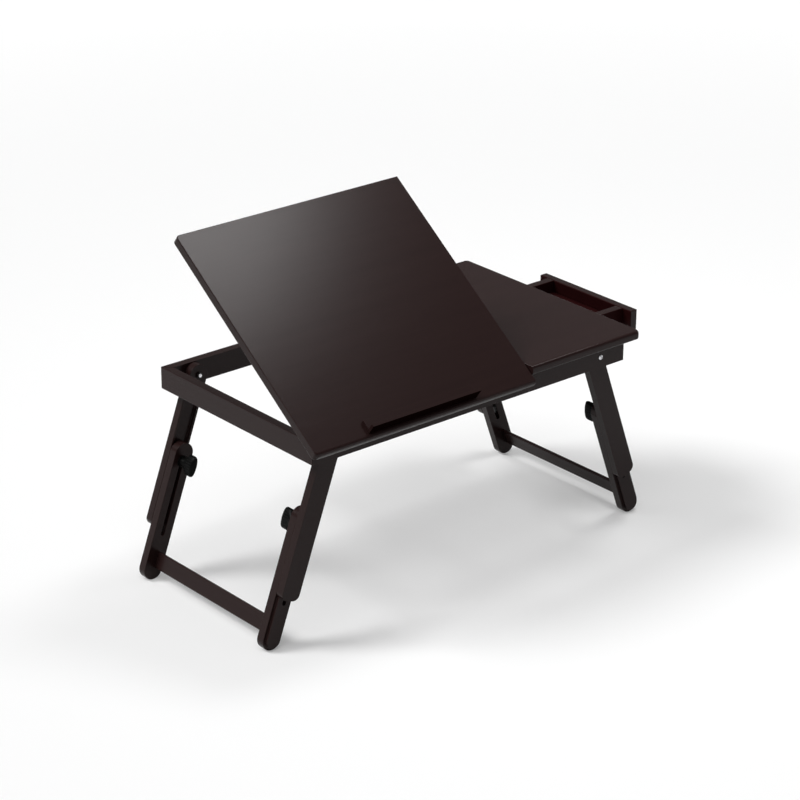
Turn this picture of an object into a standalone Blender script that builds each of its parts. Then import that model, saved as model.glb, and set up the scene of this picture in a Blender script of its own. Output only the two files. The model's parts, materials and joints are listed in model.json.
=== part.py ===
"""Laptop bed table: a framed top with a tilting panel, a fixed panel, a drawer and folding legs.

Units are metres. +X points to the drawer's end, -Y to the user, +Z up, and the floor is at Z 0.
"""
from math import asin, atan2, cos, pi, radians, sin, sqrt

import bmesh
import bpy
from mathutils import Matrix, Vector

# General fits
GAP = 0.0003
CUT_OVERRUN = 0.002
SOFT_EDGE = 0.0009
ROUND_STEPS = 8
PIN_STEPS = 12

# Frame of four rails
FRAME_LENGTH = 0.524
FRAME_DEPTH = 0.310
RAIL_HEIGHT = 0.030
RAIL_THICKNESS = 0.012
RAIL_BEVEL_DOWN = 0.0032
RAIL_BEVEL_BACK = 0.0050

# Top panels
PANEL_THICKNESS = 0.012
PANEL_FRONT_OVERHANG = 0.015
PANEL_BACK_OVERHANG = 0.0175
PANEL_LEFT_OVERHANG = 0.0127
PANEL_RIGHT_OVERHANG = 0.0145
PANEL_CORNER_RADIUS = 0.0050
PANEL_EDGE_RADIUS = 0.0010
PANEL_EDGE_STEPS = 2
PANEL_FRONT_TOP_RADIUS = 0.0045
PANEL_FRONT_LOW_RADIUS = 0.0030
PANEL_FRONT_STEPS = 5
SPLIT_OFFSET = 0.0842
SPLIT_GAP = 0.0020

# Tilting panel's hinge
TILT_ANGLE = radians(36.2)
HINGE_DEPTH = 0.0114
HINGE_OFFSETS = {"left": -0.150, "right": 0.040}
HINGE_BLOCK_WIDTH = 0.022
HINGE_KNUCKLE_RADIUS = 0.0054
HINGE_PIN_RADIUS = 0.0025
HINGE_PIN_GRIP = 0.008
HINGE_NOTCH_CLEARANCE = 0.0006

# Book stop
STOP_LENGTH = 0.175
STOP_BASE_DEPTH = 0.017
STOP_BASE_THICKNESS = 0.005
STOP_LIP_HEIGHT = 0.0155
STOP_LIP_THICKNESS = 0.004
STOP_SETBACK = 0.0065
STOP_OFFSET = -0.007
STOP_SCREW_RADIUS = 0.0016
STOP_SCREW_HEAD_RADIUS = 0.0032
STOP_SCREW_HEAD_DEPTH = 0.0020
STOP_SCREW_BITE = 0.0035
STOP_SCREW_SHARES = {"left": -0.4, "right": 0.4}

# Prop under the tilting panel
PROP_REACH = 0.100
PROP_LENGTH = 0.120
PROP_WIDTH = 0.012
PROP_HEIGHT = 0.008
PROP_PIVOT_DROP = 0.0055
PROP_PIN_RADIUS = 0.0018
PROP_INSET = 0.0040
PROP_FOOT_DEPTH = 0.0105
BRACKET_WIDTH = 0.009
BRACKET_LENGTH = 0.024
BRACKET_HEIGHT = 0.0095
BRACKET_FREE_PLAY = 0.0006

# Divider under the split and the rack for the prop's foot
DIVIDER_THICKNESS = 0.012
DIVIDER_HALF_DEPTH = 0.080
RACK_NOTCH_DEPTH = 0.0012
RACK_NOTCH_PITCH = 0.010
RACK_NOTCH_COUNT = 4
RACK_END_MARGIN = 0.010

# Drawer
DRAWER_TRAVEL = 0.0767
DRAWER_TOP_DROP = 0.0008
DRAWER_FRONT_WIDTH = 0.179
DRAWER_FRONT_HEIGHT = 0.034
DRAWER_FRONT_THICKNESS = 0.012
DRAWER_SIDE_LAP = 0.0157
DRAWER_BACK_ROOM = 0.0148
DRAWER_BOX_HEIGHT = 0.0225
DRAWER_WALL = 0.0125
DRAWER_BOTTOM_THICKNESS = 0.003
DRAWER_BOTTOM_LIFT = 0.002
DRAWER_GROOVE_DEPTH = 0.004
DRAWER_SIDE_PLAY = 0.0008
DRAWER_RUNNING_GAP = 0.0005
RUNNER_WALL = 0.008
RUNNER_LEDGE = 0.007
RUNNER_LEDGE_THICKNESS = 0.003
RUNNER_BACK_ROOM = 0.0125

# Legs
LEAN = radians(20)
PIVOT_FROM_END = 0.0423
PIVOT_DROP = 0.0151
LEG_REACH = 0.2613
UPPER_LEG_WIDTH = 0.0286
UPPER_LEG_LENGTH = 0.206
UPPER_LEG_SETBACK = 0.0124
UPPER_LEG_THICKNESS = 0.0113
UPPER_LEG_CORNER = 0.009
CHANNEL_WIDTH = 0.0218
CHANNEL_DEPTH = 0.0042
CHANNEL_START = 0.0175
LOWER_LEG_WIDTH = 0.0283
LOWER_LEG_TOP = 0.1027
LOWER_LEG_THICKNESS = 0.0118
LOWER_LEG_PLAY = 0.0003
TONGUE_WIDTH = 0.0210
TONGUE_DEPTH = 0.0038
SLOT_WIDTH = 0.0056
SLOT_LOW_END = 0.215
CLAMP_REACH = 0.113
CROSSBAR_HEIGHT = 0.0224
CROSSBAR_THICKNESS = 0.0050
CROSSBAR_LIFT = 0.0135

# Pivot bolts
BOLT_SHANK_RADIUS = 0.0024
BOLT_HEAD_RADIUS = 0.0034
BOLT_HEAD_THICKNESS = 0.0016
BOLT_HEAD_SHARES = ((1, 0.5), (0.67, 0.85), (0, 1))
BOLT_TIP = 0.0010
NUT_ACROSS_FLATS = 0.0078
NUT_THICKNESS = 0.0026

# Clamping knobs
SCREW_RADIUS = 0.0024
SCREW_HEAD_BITE = 0.012
WASHER_RADIUS = 0.0080
WASHER_THICKNESS = 0.0012
INSERT_RADIUS = 0.0038
INSERT_LENGTH = 0.0058
KNOB_LENGTH = 0.0245
KNOB_NECK_RADIUS = 0.0068
KNOB_WING_REACH = 0.0140
KNOB_WING_THICKNESS = 0.0110
KNOB_NECK_SHARES = ((0, 1, 1), (0.28, 1, 1))
KNOB_WING_SHARES = ((0.38, 1, 0.74), (0.5, 1, 1), (0.85, 1, 1), (0.96, 0.8, 0.93), (1, 0.5, 0.85))
KNOB_TURNS = {"left": 0, "right": radians(16)}

# Places worked out from the sizes above
PIVOT_HEIGHT = LEG_REACH * cos(LEAN) + LOWER_LEG_WIDTH / 2
FRAME_TOP = PIVOT_HEIGHT + PIVOT_DROP
PIVOT_X = FRAME_LENGTH / 2 - PIVOT_FROM_END
FRONT_FACE = -FRAME_DEPTH / 2
PANEL_BASE = FRAME_TOP + GAP
HINGE_Y = FRONT_FACE + RAIL_THICKNESS / 2
HINGE_Z = FRAME_TOP - HINGE_DEPTH
DIVIDER_LEFT = SPLIT_OFFSET + SPLIT_GAP / 2
DIVIDER_RIGHT = DIVIDER_LEFT + DIVIDER_THICKNESS
DRAWER_BOX_WIDTH = DRAWER_FRONT_WIDTH - 2 * DRAWER_SIDE_LAP
DRAWER_TOP = FRAME_TOP - DRAWER_TOP_DROP
DRAWER_LOW = DRAWER_TOP - DRAWER_BOX_HEIGHT
DRAWER_BOX_LENGTH = FRAME_LENGTH / 2 - DIVIDER_RIGHT - DRAWER_BACK_ROOM

# Finishes: colour, roughness and metallic value
FINISHES = {
    "dark_lacquer": ((0.024, 0.013, 0.011, 1.0), 0.35, 0.0),
    "drawer_wood": ((0.014, 0.003, 0.003, 1.0), 0.5, 0.0),
    "black_plastic": ((0.008, 0.008, 0.008, 1.0), 0.4, 0.0),
    "bright_steel": ((0.75, 0.75, 0.76, 1.0), 0.25, 1.0),
    "dark_steel": ((0.03, 0.028, 0.027, 1.0), 0.4, 1.0),
    "brass": ((0.60, 0.42, 0.16, 1.0), 0.3, 1.0),
}


def clear_scene():
    """Removes whatever objects the file opened with."""
    for item in list(bpy.data.objects):
        bpy.data.objects.remove(item, do_unlink=True)


def finish(name):
    """Returns the named finish as a material of its own."""
    colour, roughness, metallic = FINISHES[name]
    material = bpy.data.materials.new(name)
    material.use_nodes = True
    shader = material.node_tree.nodes["Principled BSDF"]
    shader.inputs["Base Color"].default_value = colour
    shader.inputs["Roughness"].default_value = roughness
    shader.inputs["Metallic"].default_value = metallic
    material.diffuse_color = colour
    return material


def empty(name, location, parent=None, turn=0.0, axis="Y"):
    """Adds an empty that carries a moving group, turned about one axis."""
    item = bpy.data.objects.new(name, None)
    bpy.context.collection.objects.link(item)
    item.parent = parent
    item.location = location
    item.rotation_euler = Matrix.Rotation(turn, 3, axis).to_euler()
    return item


def add(name, mesh, parent, look=None, location=(0, 0, 0)):
    """Adds a mesh object under its parent, as a visible piece or as a hidden cutter."""
    item = bpy.data.objects.new(name, mesh)
    bpy.context.collection.objects.link(item)
    item.parent = parent
    item.location = location
    if look is None:
        item.hide_render = True
        item.display_type = "WIRE"
    else:
        mesh.materials.append(finish(look))
        mesh.shade_smooth()
        mesh.set_sharp_from_angle(angle=radians(35))
    return item


def loft(name, rings):
    """Skins a closed body over rings of equally many points and caps both ends."""
    mesh = bmesh.new()
    loops = [[mesh.verts.new(point) for point in ring] for ring in rings]
    count = len(rings[0])
    for low, high in zip(loops, loops[1:]):
        for index in range(count):
            after = (index + 1) % count
            mesh.faces.new((low[index], low[after], high[after], high[index]))
    mesh.faces.new(loops[0])
    mesh.faces.new(loops[-1])
    bmesh.ops.recalc_face_normals(mesh, faces=mesh.faces)
    data = bpy.data.meshes.new(name)
    mesh.to_mesh(data)
    mesh.free()
    return data


def box(name, low, high):
    """Makes a plain block between two corners."""
    outline = ((low[0], low[1]), (high[0], low[1]), (high[0], high[1]), (low[0], high[1]))
    return loft(name, [[(x, y, z) for x, y in outline] for z in (low[2], high[2])])


def along(axis, across, distance):
    """Places a point of an outline at a distance along the X, Y or Z axis."""
    place = list(across)
    place.insert("XYZ".index(axis), distance)
    return tuple(place)


def turned(name, axis, stations, centre=(0, 0), steps=2 * ROUND_STEPS):
    """Turns a round body from (distance along the axis, radius) stations."""
    rings = []
    for distance, radius in stations:
        ring = []
        for index in range(steps):
            angle = 2 * pi * (index + 0.5) / steps
            across = (centre[0] + radius * cos(angle), centre[1] + radius * sin(angle))
            ring.append(along(axis, across, distance))
        rings.append(ring)
    return loft(name, rings)


def cut(piece, cutter):
    """Takes a cutter's shape out of a piece."""
    modifier = piece.modifiers.new(cutter.name, "BOOLEAN")
    modifier.operation = "DIFFERENCE"
    modifier.solver = "EXACT"
    modifier.object = cutter


def soften(piece, width, segments=2, angle=60):
    """Rounds a piece's sharp edges."""
    modifier = piece.modifiers.new("softened_edges", "BEVEL")
    modifier.width = width
    modifier.segments = segments
    modifier.limit_method = "ANGLE"
    modifier.angle_limit = radians(angle)
    modifier.use_clamp_overlap = True


def arc(centre, radius, start, end, steps=ROUND_STEPS):
    """Lists points of an arc, both ends included."""
    points = []
    for index in range(steps + 1):
        angle = start + (end - start) * index / steps
        points.append((centre[0] + radius * cos(angle), centre[1] + radius * sin(angle)))
    return points


# Frame


def mitred_rail(name, parent, length, location, turn):
    """Adds a rail whose ends are cut at 45 degrees, its outer face at its origin."""
    end_gap = GAP / sqrt(2)
    profile = ((0, -RAIL_HEIGHT), (RAIL_THICKNESS, -RAIL_HEIGHT), (RAIL_THICKNESS, 0), (0, 0))
    left = [(-length / 2 + inward + end_gap, inward, height) for inward, height in profile]
    right = [(length / 2 - inward - end_gap, inward, height) for inward, height in profile]
    rail = add(name, loft(name, [left, right]), parent, "dark_lacquer", location)
    rail.rotation_euler = (0, 0, turn)
    return rail


def build_frame(root):
    """Adds the four rails with their holes, hinge notches and drawer opening."""
    front = mitred_rail("front_rail", root, FRAME_LENGTH, (0, FRONT_FACE, FRAME_TOP), 0)
    back = mitred_rail("back_rail", root, FRAME_LENGTH, (0, -FRONT_FACE, FRAME_TOP), pi)
    left = mitred_rail("left_rail", root, FRAME_DEPTH, (-FRAME_LENGTH / 2, 0, FRAME_TOP), -pi / 2)
    right = mitred_rail("right_rail", root, FRAME_DEPTH, (FRAME_LENGTH / 2, 0, FRAME_TOP), pi / 2)

    # A bevel along the front's top edge makes room for the tilting panel
    overrun_share = 0.5
    low = (FRONT_FACE - overrun_share * RAIL_BEVEL_BACK, FRAME_TOP - (1 + overrun_share) * RAIL_BEVEL_DOWN)
    high = (FRONT_FACE + (1 + overrun_share) * RAIL_BEVEL_BACK, FRAME_TOP + overrun_share * RAIL_BEVEL_DOWN)
    wedge = [[(x, y, z) for y, z in (low, high, (low[0], high[1]))]
             for x in (-FRAME_LENGTH / 2 - CUT_OVERRUN, FRAME_LENGTH / 2 + CUT_OVERRUN)]
    bevel = add("cut_front_bevel", loft("front_bevel", wedge), root)
    for rail in (front, left, right):
        cut(rail, bevel)
    for rail, side in ((front, "front"), (back, "back")):
        for end, place in (("left", -1), ("right", 1)):
            edge = FRONT_FACE if side == "front" else -FRONT_FACE
            hole = turned("bolt_hole", "Y", [(edge - RAIL_THICKNESS - CUT_OVERRUN, BOLT_SHANK_RADIUS + GAP),
                                             (edge + RAIL_THICKNESS + CUT_OVERRUN, BOLT_SHANK_RADIUS + GAP)],
                          (place * PIVOT_X, PIVOT_HEIGHT))
            cut(rail, add(f"cut_bolt_{side}_{end}", hole, root))
    reach = HINGE_KNUCKLE_RADIUS + HINGE_NOTCH_CLEARANCE
    for side, middle in HINGE_OFFSETS.items():
        half = HINGE_BLOCK_WIDTH / 2 + HINGE_NOTCH_CLEARANCE
        notch = box("hinge_notch", (middle - half, FRONT_FACE - CUT_OVERRUN, HINGE_Z - reach),
                    (middle + half, FRONT_FACE + RAIL_THICKNESS + CUT_OVERRUN, FRAME_TOP + CUT_OVERRUN))
        cut(front, add(f"cut_hinge_{side}", notch, root))
        grip = half + HINGE_PIN_GRIP + GAP
        hole = turned("pin_hole", "X", [(middle - grip, HINGE_PIN_RADIUS + GAP),
                                        (middle + grip, HINGE_PIN_RADIUS + GAP)], (HINGE_Y, HINGE_Z))
        cut(front, add(f"cut_pin_{side}", hole, root))
    opening = DRAWER_BOX_WIDTH / 2 + DRAWER_SIDE_PLAY
    outer_face = FRAME_LENGTH / 2
    doorway = box("drawer_doorway",
                  (outer_face - RAIL_THICKNESS - CUT_OVERRUN, -opening, DRAWER_LOW - DRAWER_RUNNING_GAP),
                  (outer_face + CUT_OVERRUN, opening, FRAME_TOP + CUT_OVERRUN))
    cut(right, add("cut_drawer_doorway", doorway, root))


# Top panels


def edge_inset(height, top_radius, low_radius):
    """Gives how far a rounded edge draws in at a height above the panel's underside."""
    if height > PANEL_THICKNESS - top_radius:
        rise = height - (PANEL_THICKNESS - top_radius)
        return top_radius - sqrt(max(top_radius ** 2 - rise ** 2, 0))
    if height < low_radius:
        fall = low_radius - height
        return low_radius - sqrt(max(low_radius ** 2 - fall ** 2, 0))
    return 0


def panel_heights():
    """Lists the heights of the rings that follow a panel's rounded edges."""
    heights = {0, PANEL_THICKNESS}
    for index in range(1, PANEL_EDGE_STEPS + 1):
        rise = PANEL_EDGE_RADIUS * (1 - cos(pi / 2 * index / PANEL_EDGE_STEPS))
        heights |= {rise, PANEL_THICKNESS - rise}
    for index in range(1, PANEL_FRONT_STEPS + 1):
        heights.add(PANEL_THICKNESS - PANEL_FRONT_TOP_RADIUS * (1 - cos(pi / 2 * index / PANEL_FRONT_STEPS)))
    heights.add(PANEL_FRONT_LOW_RADIUS)
    return sorted(heights)


def panel_ring(left, right, front, back, height, round_left):
    """Lists a panel's outline at one height; the corners on one side are rounded."""
    side = edge_inset(height, PANEL_EDGE_RADIUS, PANEL_EDGE_RADIUS)
    nose = edge_inset(height, PANEL_FRONT_TOP_RADIUS, PANEL_FRONT_LOW_RADIUS)
    left, right, back = left + side, right - side, back - side
    front = front + nose
    radius = PANEL_CORNER_RADIUS
    ring = []
    corners = (((left, front), 1, 1, pi), ((right, front), -1, 1, 1.5 * pi),
               ((right, back), -1, -1, 0), ((left, back), 1, -1, pi / 2))
    for (x, y), to_x, to_y, start in corners:
        is_round = (to_x > 0) == round_left
        if is_round:
            ring += arc((x + to_x * radius, y + to_y * radius), radius, start, start + pi / 2)
        else:
            ring.append((x, y))
    return [(x, y, height) for x, y in ring]


def panel_mesh(name, left, right, round_left):
    """Makes a top panel whose underside is at local height 0."""
    front = FRONT_FACE - PANEL_FRONT_OVERHANG
    back = -FRONT_FACE + PANEL_BACK_OVERHANG
    rings = [panel_ring(left, right, front, back, height, round_left) for height in panel_heights()]
    return loft(name, rings)


def to_hinge(x, y, z):
    """Turns a place with the panel closed into one from the tilting panel's hinge axis."""
    return (x, y - HINGE_Y, z - HINGE_Z)


def build_fixed_panel(root):
    """Adds the fixed panel on the frame's right part."""
    right = FRAME_LENGTH / 2 + PANEL_RIGHT_OVERHANG
    mesh = panel_mesh("fixed_panel", SPLIT_OFFSET + SPLIT_GAP / 2, right, False)
    add("fixed_panel", mesh, root, "dark_lacquer", (0, 0, PANEL_BASE))


def build_tilting_panel(tilt):
    """Adds the tilting panel, its book stop and its hinge blocks to the tilting group."""
    left = -FRAME_LENGTH / 2 - PANEL_LEFT_OVERHANG
    right = SPLIT_OFFSET - SPLIT_GAP / 2
    seat = to_hinge(0, 0, PANEL_BASE)
    panel = add("tilting_panel", panel_mesh("tilting_panel", left, right, True), tilt, "dark_lacquer", seat)

    # The stop's section is an L: a base on the panel and a lip at its front
    middle = (left + right) / 2 + STOP_OFFSET
    foot = PANEL_BASE + PANEL_THICKNESS + GAP
    front = FRONT_FACE - PANEL_FRONT_OVERHANG + STOP_SETBACK
    section = [(0, 0), (STOP_BASE_DEPTH, 0), (STOP_BASE_DEPTH, STOP_BASE_THICKNESS),
               (STOP_LIP_THICKNESS, STOP_BASE_THICKNESS), (STOP_LIP_THICKNESS, STOP_LIP_HEIGHT),
               (0, STOP_LIP_HEIGHT)]
    rings = [[to_hinge(x, front + y, foot + z) for y, z in section]
             for x in (middle - STOP_LENGTH / 2, middle + STOP_LENGTH / 2)]
    stop = add("book_stop", loft("book_stop", rings), tilt, "dark_lacquer")

    # Screws run up through the panel into the stop's base, their heads sunk in the underside
    screw_y = front + (STOP_LIP_THICKNESS + STOP_BASE_DEPTH) / 2
    tip = PANEL_THICKNESS + GAP + STOP_SCREW_BITE
    for side, share in STOP_SCREW_SHARES.items():
        place = to_hinge(middle + share * STOP_LENGTH, screw_y, PANEL_BASE)
        screw = [(GAP, STOP_SCREW_HEAD_RADIUS), (STOP_SCREW_HEAD_DEPTH, STOP_SCREW_RADIUS),
                 (tip, STOP_SCREW_RADIUS)]
        hole = [(-CUT_OVERRUN, STOP_SCREW_HEAD_RADIUS + GAP), (GAP, STOP_SCREW_HEAD_RADIUS + GAP),
                (STOP_SCREW_HEAD_DEPTH + GAP, STOP_SCREW_RADIUS + GAP), (tip + GAP, STOP_SCREW_RADIUS + GAP)]
        cutter = add(f"cut_stop_screw_{side}", turned("screw_hole", "Z", hole), tilt, location=place)
        cut(panel, cutter)
        cut(stop, cutter)
        add(f"stop_screw_{side}", turned("stop_screw", "Z", screw), tilt, "bright_steel", place)

    # Each hinge block is a knuckle round the pin that rises to the panel's underside
    for side, place in HINGE_OFFSETS.items():
        knuckle = arc((0, 0), HINGE_KNUCKLE_RADIUS, pi, 2 * pi)
        outline = knuckle + [(HINGE_KNUCKLE_RADIUS, HINGE_DEPTH), (-HINGE_KNUCKLE_RADIUS, HINGE_DEPTH)]
        rings = [[(place + offset, y, z) for y, z in outline]
                 for offset in (-HINGE_BLOCK_WIDTH / 2, HINGE_BLOCK_WIDTH / 2)]
        block = add(f"hinge_block_{side}", loft(f"hinge_block_{side}", rings), tilt, "bright_steel")
        bore = turned("pin_bore", "X", [(place - HINGE_BLOCK_WIDTH, HINGE_PIN_RADIUS + GAP),
                                        (place + HINGE_BLOCK_WIDTH, HINGE_PIN_RADIUS + GAP)])
        cut(block, add(f"cut_bore_{side}", bore, tilt))


def build_hinge_pins(root):
    """Adds the two steel pins that carry the hinge blocks in the front rail."""
    for side, place in HINGE_OFFSETS.items():
        half = HINGE_BLOCK_WIDTH / 2 + HINGE_NOTCH_CLEARANCE + HINGE_PIN_GRIP
        pin = turned(f"hinge_pin_{side}", "X", [(-half, HINGE_PIN_RADIUS), (half, HINGE_PIN_RADIUS)])
        add(f"hinge_pin_{side}", pin, root, "bright_steel", (place, HINGE_Y, HINGE_Z))


# Prop, divider and rack


def prop_layout():
    """Works out the prop's pivot on the panel and its foot with the panel raised."""
    pivot_z = PANEL_BASE - PROP_PIVOT_DROP - HINGE_Z
    raised_y = PROP_REACH * cos(TILT_ANGLE) - pivot_z * sin(TILT_ANGLE)
    raised_z = PROP_REACH * sin(TILT_ANGLE) + pivot_z * cos(TILT_ANGLE)
    foot_z = FRAME_TOP - PROP_FOOT_DEPTH - HINGE_Z
    slope = asin((raised_z - foot_z) / PROP_LENGTH)
    foot_y = raised_y + PROP_LENGTH * cos(slope)
    return pivot_z, slope, foot_y, foot_z


def build_prop(tilt):
    """Adds the prop strut, its bracket under the panel and its pin."""
    pivot_z, slope = prop_layout()[:2]
    outer = SPLIT_OFFSET - SPLIT_GAP / 2 - PROP_INSET
    inner = outer - PROP_WIDTH
    pivot = empty("prop_pivot", (inner + PROP_WIDTH / 2, PROP_REACH, pivot_z), tilt,
                  -(TILT_ANGLE + slope), "X")
    radius = PROP_HEIGHT / 2
    outline = arc((0, 0), radius, pi / 2, 1.5 * pi) + arc((PROP_LENGTH, 0), radius, -pi / 2, pi / 2)
    rings = [[(x, y, z) for y, z in outline] for x in (-PROP_WIDTH / 2, PROP_WIDTH / 2)]
    strut = add("prop_strut", loft("prop_strut", rings), pivot, "dark_lacquer")
    bore_radius = PROP_PIN_RADIUS + GAP
    bore = turned("strut_bore", "X", [(-PROP_WIDTH, bore_radius), (PROP_WIDTH, bore_radius)], steps=PIN_STEPS)
    cut(strut, add("cut_strut_bore", bore, pivot))

    right = inner - BRACKET_FREE_PLAY
    left = right - BRACKET_WIDTH
    top = PANEL_BASE - GAP - HINGE_Z
    body = box("prop_bracket", (left, PROP_REACH - BRACKET_LENGTH / 2, top - BRACKET_HEIGHT),
               (right, PROP_REACH + BRACKET_LENGTH / 2, top))
    bracket = add("prop_bracket", body, tilt, "dark_lacquer")
    soften(bracket, SOFT_EDGE, 1)
    bore = turned("bracket_bore", "X", [(left - CUT_OVERRUN, bore_radius),
                                        (right + CUT_OVERRUN, bore_radius)], (PROP_REACH, pivot_z), PIN_STEPS)
    cut(bracket, add("cut_bracket_bore", bore, tilt))
    pin = turned("prop_pin", "X", [(left, PROP_PIN_RADIUS), (outer, PROP_PIN_RADIUS)],
                 (PROP_REACH, pivot_z), PIN_STEPS)
    add("prop_pin", pin, tilt, "bright_steel")


def build_divider(root):
    """Adds the divider under the fixed panel's left edge and the rack on its face."""
    foot_y, foot_z = prop_layout()[2:]
    divider = add("divider", box("divider", (DIVIDER_LEFT, -DIVIDER_HALF_DEPTH, FRAME_TOP - RAIL_HEIGHT),
                                 (DIVIDER_RIGHT, DIVIDER_HALF_DEPTH, FRAME_TOP)), root, "dark_lacquer")
    soften(divider, SOFT_EDGE, 1)

    # The rack's top has shallow round notches, and the raised prop's foot sits in the first
    radius = PROP_HEIGHT / 2 + GAP
    seat_y = HINGE_Y + foot_y
    seat_z = HINGE_Z + foot_z
    bottom = FRAME_TOP - RAIL_HEIGHT
    crest = seat_z - radius + RACK_NOTCH_DEPTH
    half = sqrt(radius ** 2 - (radius - RACK_NOTCH_DEPTH) ** 2)
    start = atan2(-(radius - RACK_NOTCH_DEPTH), -half)
    outline = [(seat_y - RACK_END_MARGIN, bottom), (seat_y - RACK_END_MARGIN, crest)]
    for index in range(RACK_NOTCH_COUNT):
        centre = (seat_y + index * RACK_NOTCH_PITCH, seat_z)
        outline += arc(centre, radius, start, -pi - start, 4)
    last = seat_y + (RACK_NOTCH_COUNT - 1) * RACK_NOTCH_PITCH + RACK_END_MARGIN
    outline += [(last, crest), (last, bottom)]
    right = DIVIDER_LEFT - GAP
    rings = [[(x, y, z) for y, z in outline] for x in (right - PROP_WIDTH - PROP_INSET - SPLIT_GAP, right)]
    add("prop_rack", loft("prop_rack", rings), root, "dark_lacquer")


# Drawer


def build_drawer(slide):
    """Adds the drawer's front, two sides, back and bottom, the front's inner face at local X 0."""
    top, low = DRAWER_TOP, DRAWER_LOW
    half = DRAWER_BOX_WIDTH / 2
    board = box("drawer_front", (0, -DRAWER_FRONT_WIDTH / 2, top - DRAWER_FRONT_HEIGHT),
                (DRAWER_FRONT_THICKNESS, DRAWER_FRONT_WIDTH / 2, top))
    front = add("drawer_front", board, slide, "dark_lacquer")
    soften(front, SOFT_EDGE, 2)
    pieces = [front]
    for side, sign in (("front", -1), ("back", 1)):
        outer, inner = sign * half, sign * (half - DRAWER_WALL)
        wall = box(f"drawer_side_{side}", (-DRAWER_BOX_LENGTH, min(outer, inner), low),
                   (-GAP, max(outer, inner), top))
        pieces.append(add(f"drawer_side_{side}", wall, slide, "dark_lacquer"))
    inside = half - DRAWER_WALL - GAP
    back = box("drawer_back", (-DRAWER_BOX_LENGTH, -inside, low),
               (-DRAWER_BOX_LENGTH + DRAWER_WALL, inside, top))
    pieces.append(add("drawer_back", back, slide, "dark_lacquer"))
    groove = DRAWER_GROOVE_DEPTH
    base = low + DRAWER_BOTTOM_LIFT
    bottom_low = (-DRAWER_BOX_LENGTH + DRAWER_WALL - groove, -half + DRAWER_WALL - groove, base)
    bottom_high = (groove, half - DRAWER_WALL + groove, base + DRAWER_BOTTOM_THICKNESS)
    add("drawer_bottom", box("drawer_bottom", bottom_low, bottom_high), slide, "drawer_wood")
    grown_low = [value - GAP for value in bottom_low]
    grown_high = [value + GAP for value in bottom_high]
    cutter = add("cut_drawer_groove", box("drawer_groove", grown_low, grown_high), slide)
    for piece in pieces:
        cut(piece, cutter)


def build_runners(root):
    """Adds the two L-shaped runners that carry the drawer's sides under the fixed panel."""
    top = FRAME_TOP
    ledge = DRAWER_LOW - DRAWER_RUNNING_GAP
    right = FRAME_LENGTH / 2 - RAIL_THICKNESS - GAP
    for side, sign in (("front", -1), ("back", 1)):
        outer = DRAWER_BOX_WIDTH / 2 + DRAWER_SIDE_PLAY
        section = [(outer + RUNNER_WALL, top), (outer, top), (outer, ledge), (outer - RUNNER_LEDGE, ledge),
                   (outer - RUNNER_LEDGE, ledge - RUNNER_LEDGE_THICKNESS),
                   (outer + RUNNER_WALL, ledge - RUNNER_LEDGE_THICKNESS)]
        rings = [[(x, sign * y, z) for y, z in section] for x in (DIVIDER_RIGHT + RUNNER_BACK_ROOM, right)]
        add(f"drawer_runner_{side}", loft(f"drawer_runner_{side}", rings), root, "drawer_wood")


# Legs


def bar_outline(half_width, high, low, low_corner, steps=ROUND_STEPS):
    """Lists a leg's outline: a round top about its high centre and a low end with two corners."""
    points = arc((0, high), half_width, 0, pi, 2 * steps)
    points += arc((-half_width + low_corner, low + low_corner), low_corner, pi, 1.5 * pi, steps)
    points += arc((half_width - low_corner, low + low_corner), low_corner, 1.5 * pi, 2 * pi, steps)
    return points


def plate(name, levels):
    """Lofts outlines in the leg's plane between (distance along Y, outline) levels."""
    return loft(name, [[(x, y, z) for x, z in outline] for y, outline in levels])


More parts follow.
